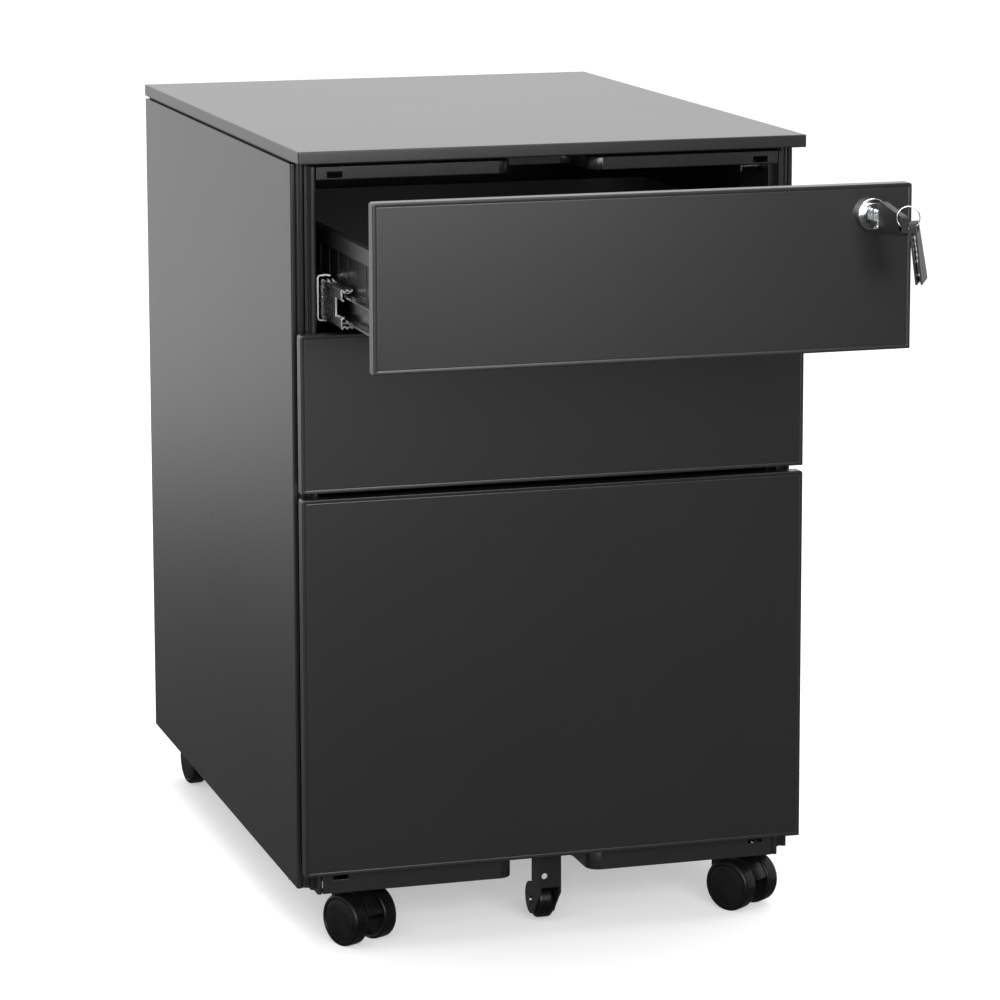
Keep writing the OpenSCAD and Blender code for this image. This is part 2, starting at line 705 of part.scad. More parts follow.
caster_wheel(1, 1);  // wheel_front_right_b
caster_wheel(2, -1);  // wheel_rear_left_a
caster_wheel(2, 1);  // wheel_rear_left_b
caster_wheel(3, -1);  // wheel_rear_right_a
caster_wheel(3, 1);  // wheel_rear_right_b
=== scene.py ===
"""Mobile three-drawer filing pedestal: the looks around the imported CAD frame.

Lengths are in metres; mm(...) turns millimetres into metres.
"""
import json
import math

import bmesh
import bpy
from mathutils import Matrix, Vector


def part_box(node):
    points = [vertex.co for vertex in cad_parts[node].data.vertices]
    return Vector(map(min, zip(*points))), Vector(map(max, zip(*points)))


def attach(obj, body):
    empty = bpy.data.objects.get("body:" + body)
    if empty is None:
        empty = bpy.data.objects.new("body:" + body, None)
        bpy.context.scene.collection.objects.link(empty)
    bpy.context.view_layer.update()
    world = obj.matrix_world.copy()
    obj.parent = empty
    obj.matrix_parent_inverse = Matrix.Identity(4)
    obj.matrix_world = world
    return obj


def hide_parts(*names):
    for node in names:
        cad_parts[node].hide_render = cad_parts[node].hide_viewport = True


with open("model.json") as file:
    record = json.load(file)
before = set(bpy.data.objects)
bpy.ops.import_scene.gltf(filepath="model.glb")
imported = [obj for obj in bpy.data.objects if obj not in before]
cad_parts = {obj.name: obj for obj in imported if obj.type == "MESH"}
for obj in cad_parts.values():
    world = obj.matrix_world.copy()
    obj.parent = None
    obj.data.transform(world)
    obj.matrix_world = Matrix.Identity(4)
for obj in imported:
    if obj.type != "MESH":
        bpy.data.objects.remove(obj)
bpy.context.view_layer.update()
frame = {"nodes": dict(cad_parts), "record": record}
nodes = frame["nodes"]


def mm(value):
    """Millimetres as metres."""
    return value * 0.001


# ---------- places taken from the frame ----------

FRONT_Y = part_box("top_panel")[0][1]        # plane of the closed drawer fronts


# ---------- materials ----------

def new_material(name):
    """An empty material with its output and a Principled shader; returns (material, tree, shader)."""
    mat = bpy.data.materials.new(name)
    mat.use_nodes = True
    tree = mat.node_tree
    tree.nodes.clear()
    out = tree.nodes.new("ShaderNodeOutputMaterial")
    bsdf = tree.nodes.new("ShaderNodeBsdfPrincipled")
    tree.links.new(bsdf.outputs["BSDF"], out.inputs["Surface"])
    return mat, tree, bsdf


def coords(tree, stretch=(1, 1, 1)):
    """Object coordinates in metres, stretched along the axes."""
    tex = tree.nodes.new("ShaderNodeTexCoord")
    mapping = tree.nodes.new("ShaderNodeMapping")
    mapping.inputs["Scale"].default_value = stretch
    tree.links.new(tex.outputs["Object"], mapping.inputs["Vector"])
    return mapping.outputs["Vector"]


def noise(tree, vector, grain, detail=2.0, rough=0.5):
    """Noise whose features are about grain metres across; returns its value socket."""
    tex = tree.nodes.new("ShaderNodeTexNoise")
    tex.inputs["Scale"].default_value = 1.0 / grain
    tex.inputs["Detail"].default_value = detail
    tex.inputs["Roughness"].default_value = rough
    tree.links.new(vector, tex.inputs["Vector"])
    return tex.outputs["Fac"]


def spread(tree, value, low, high, at=(0.3, 0.7)):
    """Maps a value from the range at to the range low..high."""
    node = tree.nodes.new("ShaderNodeMapRange")
    node.inputs["From Min"].default_value, node.inputs["From Max"].default_value = at
    node.inputs["To Min"].default_value, node.inputs["To Max"].default_value = low, high
    tree.links.new(value, node.inputs["Value"])
    return node.outputs["Result"]


def tint(tree, value, dark, light, at=(0.3, 0.7)):
    """A colour between dark and light by value."""
    ramp = tree.nodes.new("ShaderNodeValToRGB")
    ramp.color_ramp.elements[0].position, ramp.color_ramp.elements[1].position = at
    ramp.color_ramp.elements[0].color = (*dark, 1)
    ramp.color_ramp.elements[1].color = (*light, 1)
    tree.links.new(value, ramp.inputs["Fac"])
    return ramp.outputs["Color"]


def bump(tree, height, depth, below=None):
    """Bump of that depth in metres, laid over another bump's normal."""
    node = tree.nodes.new("ShaderNodeBump")
    node.inputs["Distance"].default_value = depth
    tree.links.new(height, node.inputs["Height"])
    if below is not None:
        tree.links.new(below, node.inputs["Normal"])
    return node.outputs["Normal"]


def powder_coat(name, ior):
    """Black satin powder coat: orange peel, a fine grit and slow changes of gloss."""
    mat, tree, bsdf = new_material(name)
    link = tree.links.new
    place = coords(tree)
    cloud = noise(tree, place, 0.25, 2)
    peel = noise(tree, place, 0.0028, 1)
    grit = noise(tree, place, 0.0006, 2)
    colour = tint(tree, cloud, (0.0088, 0.0089, 0.0092), (0.0102, 0.0103, 0.0106), (0.2, 0.8))
    link(colour, bsdf.inputs["Base Color"])
    link(spread(tree, cloud, 0.27, 0.29, (0.2, 0.8)), bsdf.inputs["Roughness"])
    link(bump(tree, grit, 0.000012, bump(tree, peel, 0.00003)), bsdf.inputs["Normal"])
    bsdf.inputs["IOR"].default_value = ior
    return mat


def brushed_zinc():
    """Bright zinc plate: drawn along Y, with a faint blue and yellow cast."""
    mat, tree, bsdf = new_material("zinc")
    link = tree.links.new
    drawn = noise(tree, coords(tree, (1, 0.02, 1)), 0.0004, 2)
    cast = noise(tree, coords(tree), 0.02, 2)
    link(tint(tree, cast, (0.14, 0.147, 0.154), (0.20, 0.20, 0.193)), bsdf.inputs["Base Color"])
    link(spread(tree, drawn, 0.20, 0.34), bsdf.inputs["Roughness"])
    link(bump(tree, drawn, 0.00002), bsdf.inputs["Normal"])
    bsdf.inputs["Metallic"].default_value = 1.0
    return mat


def cut_steel():
    """Freshly sheared steel, lighter than the plated faces and streaked across the cut."""
    mat, tree, bsdf = new_material("cut_steel")
    link = tree.links.new
    streak = noise(tree, coords(tree, (1, 1, 0.3)), 0.0003, 2)
    link(tint(tree, streak, (0.62, 0.63, 0.64), (0.86, 0.87, 0.88)), bsdf.inputs["Base Color"])
    link(spread(tree, streak, 0.34, 0.5), bsdf.inputs["Roughness"])
    link(bump(tree, streak, 0.00001), bsdf.inputs["Normal"])
    bsdf.inputs["Metallic"].default_value = 1.0
    return mat


def polished_chrome():
    """Chrome plate with hairline wear."""
    mat, tree, bsdf = new_material("chrome")
    link = tree.links.new
    wear = noise(tree, coords(tree), 0.0012, 4)
    link(tint(tree, wear, (0.70, 0.71, 0.72), (0.82, 0.83, 0.84)), bsdf.inputs["Base Color"])
    link(spread(tree, wear, 0.06, 0.16), bsdf.inputs["Roughness"])
    link(bump(tree, wear, 0.000006), bsdf.inputs["Normal"])
    bsdf.inputs["Metallic"].default_value = 1.0
    return mat


def moulded_plastic(name, dark, light, rough, grain, depth, ior=1.28):
    """Black moulded plastic with a spark-eroded grain."""
    mat, tree, bsdf = new_material(name)
    link = tree.links.new
    place = coords(tree)
    texture = noise(tree, place, grain, 2)
    patch = noise(tree, place, 0.012, 2)
    link(tint(tree, patch, dark, light), bsdf.inputs["Base Color"])
    link(spread(tree, patch, rough - 0.05, rough + 0.05), bsdf.inputs["Roughness"])
    link(bump(tree, texture, depth), bsdf.inputs["Normal"])
    bsdf.inputs["IOR"].default_value = ior
    return mat


PAINT = powder_coat("powder_coat", 1.52)
# A copy of the same powder coat with a lower IOR, so it reflects less: painted shade for the anti-tilt
# bracket under the cabinet.
SHADED_BRACKET_PAINT = powder_coat("bracket_powder_coat_painted_shade", 1.28)
ZINC = brushed_zinc()
CUT_STEEL = cut_steel()
CHROME = polished_chrome()
DEEP_BLACK = (0.003, 0.003, 0.0032)
WORN_BLACK = (0.0045, 0.0045, 0.0047)
NYLON = moulded_plastic("black_plastic", DEEP_BLACK, WORN_BLACK, 0.34, 0.0005, 0.00001)
TREAD = moulded_plastic("wheel_plastic", DEEP_BLACK, WORN_BLACK, 0.30, 0.0005, 0.00001)
KEY_PLASTIC = moulded_plastic("key_plastic", (0.005, 0.005, 0.0054), (0.008, 0.008, 0.0084),
                              0.42, 0.0003, 0.00002, 1.42)
SLOT_MATERIAL = {"powder_coat": PAINT, "zinc": ZINC, "chrome": CHROME, "black_plastic": NYLON,
                 "wheel_plastic": TREAD, "key_plastic": KEY_PLASTIC}


# ---------- CAD nodes: material and softened edges ----------

# edge radii in millimetres; 0 leaves a node's edges as they are
EDGE_R = {"top_panel": 1.1, "left_side_panel": 0.45, "right_side_panel": 0.45, "back_panel": 0.4,
          "top_front_rail": 0.48, "bottom_front_rail": 0.48, "lock_housing": 0.25, "lock_plug": 0.2,
          "key_bow": 0.7, "spare_key_bow": 0.7, "key_blade": 0.12, "spare_key_blade": 0.12,
          "key_ring": 0.0, "anti_tilt_wheel": 0.0}
PLAIN_EDGE_R = 0.35
WHEEL_EDGE_R = 0.25


def dress(node_name, slot_name):
    """Gives a CAD node its material, and rounds its edges slightly so that they catch light."""
    obj = nodes[node_name]
    obj.data.materials.clear()
    obj.data.materials.append(SLOT_MATERIAL[slot_name])
    radius = mm(EDGE_R.get(node_name, PLAIN_EDGE_R))
    if node_name.startswith("wheel_"):
        radius = mm(WHEEL_EDGE_R)
    if radius == 0:
        return
    weld = obj.modifiers.new("weld", "WELD")
    weld.merge_threshold = 1e-6
    bevel = obj.modifiers.new("edges", "BEVEL")
    bevel.width = radius
    bevel.segments = 2
    bevel.limit_method = "ANGLE"
    bevel.angle_limit = math.radians(35)
    bevel.harden_normals = True
    bevel.use_clamp_overlap = True


for part in frame["record"]["subparts"]:
    dress(part["node"], part["material_slot"])
# The bracket gets the weaker-reflecting copy of the paint: painted shade for its place under the cabinet.
nodes["anti_tilt_bracket"].data.materials[0] = SHADED_BRACKET_PAINT


# ---------- mesh helpers ----------

MERGE = 4e-6                               # vertices closer than this become one


def new_piece(name, verts, faces, body, slot_name, replaced=(), flat_angle=30):
    """A mesh piece riding on a body: smooth, with creases where faces turn by more than flat_angle."""
    mesh = bpy.data.meshes.new(name)
    mesh.from_pydata([tuple(v) for v in verts], [], faces)
    build = bmesh.new()
    build.from_mesh(mesh)
    bmesh.ops.remove_doubles(build, verts=build.verts, dist=MERGE)
    bmesh.ops.dissolve_degenerate(build, edges=build.edges, dist=1e-7)
    bmesh.ops.recalc_face_normals(build, faces=build.faces)
    build.to_mesh(mesh)
    build.free()
    mesh.validate()
    mesh.shade_smooth()
    mesh.set_sharp_from_angle(angle=math.radians(flat_angle))
    mesh.materials.append(SLOT_MATERIAL[slot_name])
    obj = bpy.data.objects.new(name, mesh)
    bpy.context.collection.objects.link(obj)
    weighted = obj.modifiers.new("normals", "WEIGHTED_NORMAL")
    weighted.keep_sharp = True
    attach(obj, body)
    if replaced:
        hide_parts(*replaced)
    return obj


def cut_ends(obj):
    """Gives the faces at a slide's ends the bright look of cut steel."""
    obj.data.materials.append(CUT_STEEL)
    for face in obj.data.polygons:
        if abs(face.normal.y) > 0.9:
            face.material_index = 1
    return obj


class Build:
    """Collects the vertices and faces of several closed shells."""

    def __init__(self):
        self.verts = []
        self.faces = []

    def loft(self, rings):
        """Skins rings that all have the same number of points, and caps both ends."""
        base = len(self.verts)
        count = len(rings[0])
        for ring in rings:
            self.verts.extend(ring)
        for i in range(len(rings) - 1):
            here, there = base + i * count, base + (i + 1) * count
            for j in range(count):
                k = (j + 1) % count
                self.faces.append((here + j, here + k, there + k, there + j))
        last = base + (len(rings) - 1) * count
        self.faces.append(tuple(base + j for j in reversed(range(count))))
        self.faces.append(tuple(last + j for j in range(count)))

    def lathe(self, profile, centre, axis, steps=64):
        """Turns (radius, height) points about an axis through centre; the profile is a closed line."""
        axis = Vector(axis).normalized()
        side = axis.orthogonal().normalized()
        other = axis.cross(side)
        base = len(self.verts)
        count = len(profile)
        for turn in range(steps):
            angle = 2 * math.pi * turn / steps
            out = side * math.cos(angle) + other * math.sin(angle)
            self.verts.extend(Vector(centre) + out * r + axis * h for r, h in profile)
        for i in range(steps):
            here, there = base + i * count, base + (i + 1) % steps * count
            for j in range(count - 1):
                self.faces.append((here + j, here + j + 1, there + j + 1, there + j))

    def ball(self, centre, radius, steps=10):
        """A small ball."""
        rise = [math.pi * i / steps for i in range(steps + 1)]
        self.lathe([(max(radius * math.sin(a), 1e-6), -radius * math.cos(a)) for a in rise],
                   centre, (0, 0, 1), steps)

    def bar_y(self, outline, y0, y1, side=1):
        """A closed outline in X and Z drawn out from y0 to y1; side -1 mirrors it."""
        self.loft([[(side * x, y, z) for x, z in outline] for y in (y0, y1)])

    def piece(self, name, body, slot_name, replaced=(), flat_angle=30):
        """Makes the collected shells one piece."""
        return new_piece(name, self.verts, self.faces, body, slot_name, replaced, flat_angle)


def arc(cx, cz, radius, start, end, steps):
    """Points on an arc, angles in degrees."""
    return [(cx + radius * math.cos(math.radians(start + (end - start) * i / steps)),
             cz + radius * math.sin(math.radians(start + (end - start) * i / steps)))
            for i in range(steps + 1)]


def rounded(points, radius, steps=4):
    """An open polyline with its inner corners rounded."""
    out = [points[0]]
    for before, here, after in zip(points, points[1:], points[2:]):
        here, before, after = Vector(here), Vector(before), Vector(after)
        reach = min(radius, (before - here).length / 2.01, (after - here).length / 2.01)
        start = here + (before - here).normalized() * reach
        end = here + (after - here).normalized() * reach
        for i in range(steps + 1):
            t = i / steps
            out.append(tuple(start * (1 - t) ** 2 + here * 2 * t * (1 - t) + end * t ** 2))
    out.append(points[-1])
    return out


def sheet_outline(path, thick):
    """Closed outline of a folded sheet whose one face follows path, thickened to the left."""
    left = []
    for i, here in enumerate(path):
        before, after = path[max(i - 1, 0)], path[min(i + 1, len(path) - 1)]
        along = (Vector(after) - Vector(before)).normalized()
        left.append((here[0] - along.y * thick, here[1] + along.x * thick))
    return list(path) + left[::-1]


def mirrored(half):
    """A profile's upper half, from its tip to z = 0, carried on below z = 0."""
    return half + [(x, -z) for x, z in reversed(half[:-1])]


def shifted(outline, level, flip=1):
    """The outline raised to a slide's level; flip -1 turns it upside down."""
    return [(x, flip * z + level) for x, z in outline]


def centre_of(node_name):
    """The middle of a node's box."""
    lo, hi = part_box(node_name)
    return (Vector(lo) + Vector(hi)) / 2


# ---------- drawer fronts ----------

CORNER_R = mm(2.2)
BEND_R = mm(0.8)
HEM_LINE = mm(2.4)                         # the pressed line inside the front's edge
HEM_LINE_W = mm(0.35)
HEM_LINE_DEEP = mm(0.22)
SKIN = mm(1)


def front_ring(lo, hi, inset, y):
    """Outline of a drawer front drawn in by inset, with round top corners, at y."""
    x0, x1, z0, z1 = lo[0] + inset, hi[0] - inset, lo[2] + inset, hi[2] - inset
    r = max(CORNER_R - inset, mm(0.5))
    foot = mm(0.4)
    outline = (arc(x0 + foot, z0 + foot, foot, 180, 270, 3)
               + arc(x1 - foot, z0 + foot, foot, 270, 360, 3)
               + arc(x1 - r, z1 - r, r, 0, 90, 10) + arc(x0 + r, z1 - r, r, 90, 180, 10))
    return [(x, y, z) for x, z in outline]


def drawer_front(node_name, body):
    """A folded drawer front with rolled edges and the fine pressed line along them."""
    lo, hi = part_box(node_name)
    face, back = lo[1], hi[1]
    steps = [(SKIN, face + SKIN), (SKIN, back), (0, back)]
    for angle in (0, 15, 30, 45, 60, 75, 90):
        bend = math.radians(angle)
        steps.append((BEND_R - BEND_R * math.cos(bend), face + BEND_R - BEND_R * math.sin(bend)))
    steps += [(HEM_LINE, face), (HEM_LINE + HEM_LINE_W, face + HEM_LINE_DEEP),
              (HEM_LINE + 2 * HEM_LINE_W, face + HEM_LINE_DEEP), (HEM_LINE + 3 * HEM_LINE_W, face)]
    build = Build()
    build.loft([front_ring(lo, hi, inset, y) for inset, y in steps])
    build.piece(node_name + "_folded", body, "powder_coat", [node_name], 40)


drawer_front("top_drawer_front", "top_drawer")
drawer_front("middle_drawer_front", "middle_drawer")
drawer_front("bottom_drawer_front", "bottom_drawer")


# ---------- folded sheets of the carcass ----------

SHEET = mm(1.0)
OUT_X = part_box("right_side_panel")[1][0]   # outside of the side panels
CHANNEL_X = (OUT_X - mm(3), OUT_X - mm(7.2))   # the pressed channel in a side panel's front return
CHANNEL_DEEP = mm(1.3)
RETURN_BACK = mm(12)                       # depth of the lip behind the front return
SKIN_GAP = mm(0.05)                        # keeps a flange off the edges it meets


def upright_sheet(build, path, z0, z1, side):
    """A folded sheet standing between two levels; the path runs in X and Y, and side -1 mirrors it."""
    outline = sheet_outline(path, -SHEET)
    build.loft([[(side * x, y, z) for x, y in outline] for z in (z0, z1)])


def side_panel(node_name, side):
    """A side panel with rounded folds and a pressed channel along its front return."""
    lo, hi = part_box(node_name)
    back, front = hi[1], lo[1]
    inner = min(abs(lo[0]), abs(hi[0]))
    rear_fold = rounded([(inner, back), (OUT_X, back), (OUT_X, back - mm(20))], mm(1.4))
    front_fold = rounded([(OUT_X, front + mm(20)), (OUT_X, front), (CHANNEL_X[0], front)], mm(1.7), 8)
    channel = rounded([(CHANNEL_X[0], front), (CHANNEL_X[0] - CHANNEL_DEEP, front + CHANNEL_DEEP),
                       (CHANNEL_X[1] + CHANNEL_DEEP, front + CHANNEL_DEEP), (CHANNEL_X[1], front)],
                      mm(0.5), 3)
    inner_x = OUT_X - mm(9.8)
    lip = rounded([(CHANNEL_X[1], front), (inner_x, front), (inner_x, front + RETURN_BACK)], mm(1.3), 6)
    build = Build()
    upright_sheet(build, rear_fold + front_fold + channel[1:-1] + lip, lo[2], hi[2], side)
    edge_x, edge_y = OUT_X - SHEET / 2, back - SHEET / 2
    flange = [(inner, front + RETURN_BACK), (edge_x, front + RETURN_BACK), (edge_x, edge_y), (inner, edge_y)]
    for z in (lo[2], hi[2] - SHEET):
        build.loft([[(side * x, y, level) for x, y in flange]
                    for level in (z + SKIN_GAP, z + SHEET - SKIN_GAP)])
    build.piece(node_name + "_folded", "cabinet", "powder_coat", [node_name], 35)


side_panel("left_side_panel", -1)
side_panel("right_side_panel", 1)


NOSE = mm(12.7)                            # how far the upright's nose stands forward of its plate
PLATE_SET = mm(0.4)                        # how far its plate stands behind the rails
OUTER_FROM_WALL = mm(9)


def front_upright(node_name, side):
    """A front upright folded from one sheet: outer wall, plate, forward nose, slide-carrying wall."""
    lo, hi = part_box(node_name)
    wall = min(abs(lo[0]), abs(hi[0]))
    reach = max(abs(lo[0]), abs(hi[0]))
    nose, back = lo[1], hi[1]
    plate = nose + NOSE + PLATE_SET
    outer = wall + OUTER_FROM_WALL
    corner = outer - mm(1)
    nose_out, nose_in = wall + mm(6.9), wall + mm(3.6)
    path = [(outer, plate + mm(12))]
    path += rounded([(outer, plate + mm(6)), (outer, plate), (corner, plate)], mm(0.9))
    path += rounded([(corner, plate), (nose_out, plate), (nose_out, nose), (nose_in, nose),
                     (nose_in, plate), (wall, plate), (wall, plate + mm(9))], mm(1.2), 6)
    path += [(wall, back)]
    flange = plate + mm(31.6)
    low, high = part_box("bottom_front_rail")[0][2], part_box("top_front_rail")[1][2]
    build = Build()
    upright_sheet(build, path, low, high, side)
    upright_sheet(build, [(outer, plate + mm(11)), (outer, flange), (reach, flange)], lo[2], hi[2], side)
    build.piece(node_name + "_folded", "cabinet", "powder_coat", [node_name], 35)


front_upright("left_front_upright", -1)


# ---------- slides ----------

SLIDE_T = mm(1.2)
OUTER_HALF = mm(17.5)
MIDDLE_HALF = mm(14.6)
INNER_HALF = mm(9.8)
CAGE_W = mm(5.2)
CAGE_T = mm(0.6)
BALLS = 14
BALL_STEP = mm(8)
BALL_R = mm(1.9)
SLIDE_NODES = ["top_slide_inner", "middle_slide_inner", "bottom_slide_inner"]
SLIDE_LEVELS = [centre_of(node_name).z for node_name in SLIDE_NODES]


def outer_slides():
    """The fixed channels, with rolled corners and lips that turn in a little."""
    build = Build()
    lo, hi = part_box("slide_outer_members")
    web = hi[0]
    tip = web - mm(10.4)
    half = rounded([(tip, OUTER_HALF - mm(0.9)), (tip + mm(3), OUTER_HALF),
                    (web - mm(1.4), OUTER_HALF - mm(0.5)), (web, OUTER_HALF - mm(2.4)), (web, 0)], mm(1.6))
    outline = sheet_outline(mirrored(half), -SLIDE_T)
    for level in SLIDE_LEVELS:
        for side in (1, -1):
            build.bar_y(shifted(outline, level), lo[1], hi[1], side)
    cut_ends(build.piece("slide_outer_rolled", "cabinet", "zinc", ["slide_outer_members"], 40))


def raceway(web):
    """A middle member's flange from the web out to its tip: two swells with the ball groove between."""
    length, depth, steps = mm(7.8), mm(1.5), 16
    return [(web - mm(0.9) - length * i / steps,
             MIDDLE_HALF - depth * (0.5 - 0.5 * math.cos(4 * math.pi * i / steps)))
            for i in range(steps + 1)]


def middle_slides(node_name, body, level):
    """A drawer's pair of middle members: raceway flanges, a web open in front, and ball cages."""
    lo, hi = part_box(node_name)
    web = hi[0]
    flange = raceway(web)
    lip = mm(5.4)
    window = mm(16)
    shoulder = (web, MIDDLE_HALF - mm(1.1))
    split = flange[::-1] + rounded([flange[0], shoulder, (web, lip + mm(1.4)),
                                    (web - mm(2.2), lip)], mm(1))[1:]
    whole = flange[::-1] + rounded([flange[0], shoulder, (web, 0)], mm(1))[1:]
    split_outline = sheet_outline(split, -SLIDE_T)
    whole_outline = sheet_outline(mirrored(whole), -SLIDE_T)
    build = Build()
    cage = Build()
    for side in (1, -1):
        for flip in (1, -1):
            build.bar_y(shifted(split_outline, level, flip), lo[1], lo[1] + window, side)
            race = level + flip * mm(10.9)
            groove = web - mm(4.8)
            x0, x1 = groove - CAGE_W / 2, groove + CAGE_W / 2
            z0, z1 = race - CAGE_T / 2, race + CAGE_T / 2
            cage.bar_y([(x0, z0), (x1, z0), (x1, z1), (x0, z1)], lo[1] + mm(4), lo[1] + mm(118), side)
            for i in range(BALLS):
                cage.ball((side * groove, lo[1] + mm(8) + BALL_STEP * i, race), BALL_R)
        build.bar_y(shifted(whole_outline, level), lo[1] + window, hi[1], side)
    cut_ends(build.piece(node_name + "_rolled", body, "zinc", [node_name], 40))
    cage.piece(node_name + "_ball_cage", body, "chrome")


def inner_slides(node_name, body, level):
    """A drawer's pair of inner members, open outwards, with a release lever near the front."""
    lo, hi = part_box(node_name)
    tip = hi[0]
    web = tip - mm(8)
    flange = [(tip, INNER_HALF - mm(0.2)), (tip - mm(0.9), INNER_HALF - mm(1.1)),
              (tip - mm(1.7), INNER_HALF - mm(1.45)), (tip - mm(2.5), INNER_HALF - mm(1.2)),
              (tip - mm(3.8), INNER_HALF - mm(0.2)), (tip - mm(4.9), INNER_HALF)]
    outline = sheet_outline(mirrored(rounded(flange + [(web, INNER_HALF), (web, 0)], mm(0.9))), SLIDE_T)
    build = Build()
    lever = Build()
    for side in (1, -1):
        build.bar_y(shifted(outline, level), lo[1], hi[1], side)
        x0, x1 = web + SLIDE_T, web + SLIDE_T + mm(1.8)
        arm = rounded([(lo[1] + mm(14), level + mm(3.6)), (lo[1] + mm(36), level + mm(5.2)),
                       (lo[1] + mm(40), level + mm(0.6)), (lo[1] + mm(64), level - mm(3.2)),
                       (lo[1] + mm(62), level - mm(6)), (lo[1] + mm(15), level - mm(3.4)),
                       (lo[1] + mm(14), level + mm(3.6))], mm(2), 4)[:-1]
        lever.loft([[(side * x, y, z) for y, z in arm] for x in (x0, x1)])
    cut_ends(build.piece(node_name + "_rolled", body, "zinc", [node_name], 40))
    lever.piece(node_name + "_lever", body, "zinc")


outer_slides()
for drawer, level in zip(("top", "middle", "bottom"), SLIDE_LEVELS):
    middle_slides(drawer + "_slide_middle", drawer + "_slide_pair", level)
    inner_slides(drawer + "_slide_inner", drawer + "_drawer", level)


# ---------- wheels ----------

WHEEL_R = mm(20)
WHEEL_W = mm(13)


def caster_wheel(corner, letter):
    """A twin wheel's half: rounded tread, a moulded step, and a domed cover on its outer face."""
    name = "wheel_%s_%s" % (corner, letter)
    middle = centre_of(name)
    axis = middle - centre_of("caster_axle_" + corner)
    axis.z = 0
    out, hub = WHEEL_W / 2, mm(2.6)
    profile = [(hub, -out), (mm(5.2), -out), (mm(5.4), -out + mm(4)), (mm(16.6), -out + mm(4)),
               (mm(17.0), -out + mm(0.3))]
    profile += arc(WHEEL_R - mm(1.8), -out + mm(1.8), mm(1.8), -90, 0, 5)
    profile += [(WHEEL_R, 0)] + arc(WHEEL_R - mm(2.6), out - mm(3.1), mm(2.6), 5, 78, 6)
    profile += [(mm(16.7), out - mm(0.55)), (mm(16.3), out - mm(1.35)), (mm(15.9), out - mm(1.4)),
                (mm(15.6), out - mm(0.85)), (mm(15.0), out - mm(0.6))]
    profile += [(mm(15.0) * (1 - t), out - mm(0.6) * (1 - t) ** 2) for t in (0.2, 0.4, 0.6, 0.8)]
    profile += [(1e-6, out), (1e-6, out - mm(2)), (hub, out - mm(2)), (hub, -out)]
    build = Build()
    build.lathe(profile, middle, axis, 72)
    build.piece(name + "_moulded", name, "wheel_plastic", [name], 35)


for corner in ("front_left", "front_right", "rear_left", "rear_right"):
    caster_wheel(corner, "a")
    caster_wheel(corner, "b")


# ---------- key ring ----------

def split_ring():
    """Two turns of round wire, side by side, that cross over once."""
    lo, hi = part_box("key_ring")
    middle = centre_of("key_ring")
    wire = mm(0.4)
    radius = (hi[2] - lo[2]) / 2 - 2 * wire
    across = Vector((hi[0] - lo[0] - 4 * wire, -(hi[1] - lo[1] - 4 * wire), 0)).normalized()
    normal = across.cross(Vector((0, 0, 1))).normalized()
    steps = 144
    rings = []
    for i in range(steps + 1):
        t = i / steps
        angle = 4 * math.pi * t
        spoke = across * math.cos(angle) + Vector((0, 0, 1)) * math.sin(angle)
        centre = middle + spoke * radius + normal * wire * max(-1, min(1, (t - 0.5) * 12))
        rings.append([centre + (spoke * math.cos(a) + normal * math.sin(a)) * wire
                      for a in (2 * math.pi * k / 10 for k in range(10))])
    build = Build()
    build.loft(rings)
    build.piece("key_ring_split", "ring", "chrome", ["key_ring"], 45)


split_ring()


# ---------- screw heads ----------

def plain_object(name, build):
    """A bare object from collected shells, for a boolean."""
    mesh = bpy.data.meshes.new(name)
    mesh.from_pydata([tuple(v) for v in build.verts], [], build.faces)
    work = bmesh.new()
    work.from_mesh(mesh)
    bmesh.ops.remove_doubles(work, verts=work.verts, dist=MERGE)
    bmesh.ops.recalc_face_normals(work, faces=work.faces)
    work.to_mesh(mesh)
    work.free()
    obj = bpy.data.objects.new(name, mesh)
    bpy.context.collection.objects.link(obj)
    return obj


def cross_head(radius, height):
    """Vertices and faces of a pan head standing on z = 0, with a cross recess."""
    head = Build()
    dome = [(radius * math.cos(a), height * (0.35 + 0.65 * math.sin(a))) for a in (0, 0.4, 0.8, 1.2)]
    head.lathe([(1e-6, 0), (radius, 0)] + dome + [(1e-6, height)], (0, 0, 0), (0, 0, 1), 28)
    arm, half = radius * 0.6, radius * 0.12
    cross = [(half, half), (arm, half), (arm, -half), (half, -half), (half, -arm), (-half, -arm),
             (-half, -half), (-arm, -half), (-arm, half), (-half, half), (-half, arm), (half, arm)]
    slots = Build()
    slots.loft([[(x, y, z) for x, y in cross] for z in (height * 0.3, height * 2)])
    solid, cutter = plain_object("head", head), plain_object("cross", slots)
    boolean = solid.modifiers.new("cross", "BOOLEAN")
    boolean.operation = "DIFFERENCE"
    boolean.object = cutter
    bpy.context.view_layer.update()
    done = solid.evaluated_get(bpy.context.evaluated_depsgraph_get()).to_mesh()
    verts = [v.co.copy() for v in done.vertices]
    faces = [tuple(p.vertices) for p in done.polygons]
    bpy.data.objects.remove(solid)
    bpy.data.objects.remove(cutter)
    return verts, faces


def solids_of(node_name):
    """Lowest and highest corner of each separate solid of a node, in order of place."""
    obj = nodes[node_name]
    work = bmesh.new()
    work.from_mesh(obj.data)
    bmesh.ops.transform(work, matrix=obj.matrix_world, verts=work.verts)
    bmesh.ops.remove_doubles(work, verts=work.verts, dist=1e-6)
    left = set(work.verts)
    found = []
    while left:
        stack = [left.pop()]
        group = []
        while stack:
            vert = stack.pop()
            group.append(vert.co.copy())
            for edge in vert.link_edges:
                other = edge.other_vert(vert)
                if other in left:
                    left.remove(other)
                    stack.append(other)
        found.append([Vector([pick(c[i] for c in group) for i in range(3)]) for pick in (min, max)])
    work.free()
    return sorted(found, key=lambda pair: tuple(round(v, 5) for v in pair[0]))


HEAD_TURN = 0.7                            # each screw stands turned by this much more, in radians


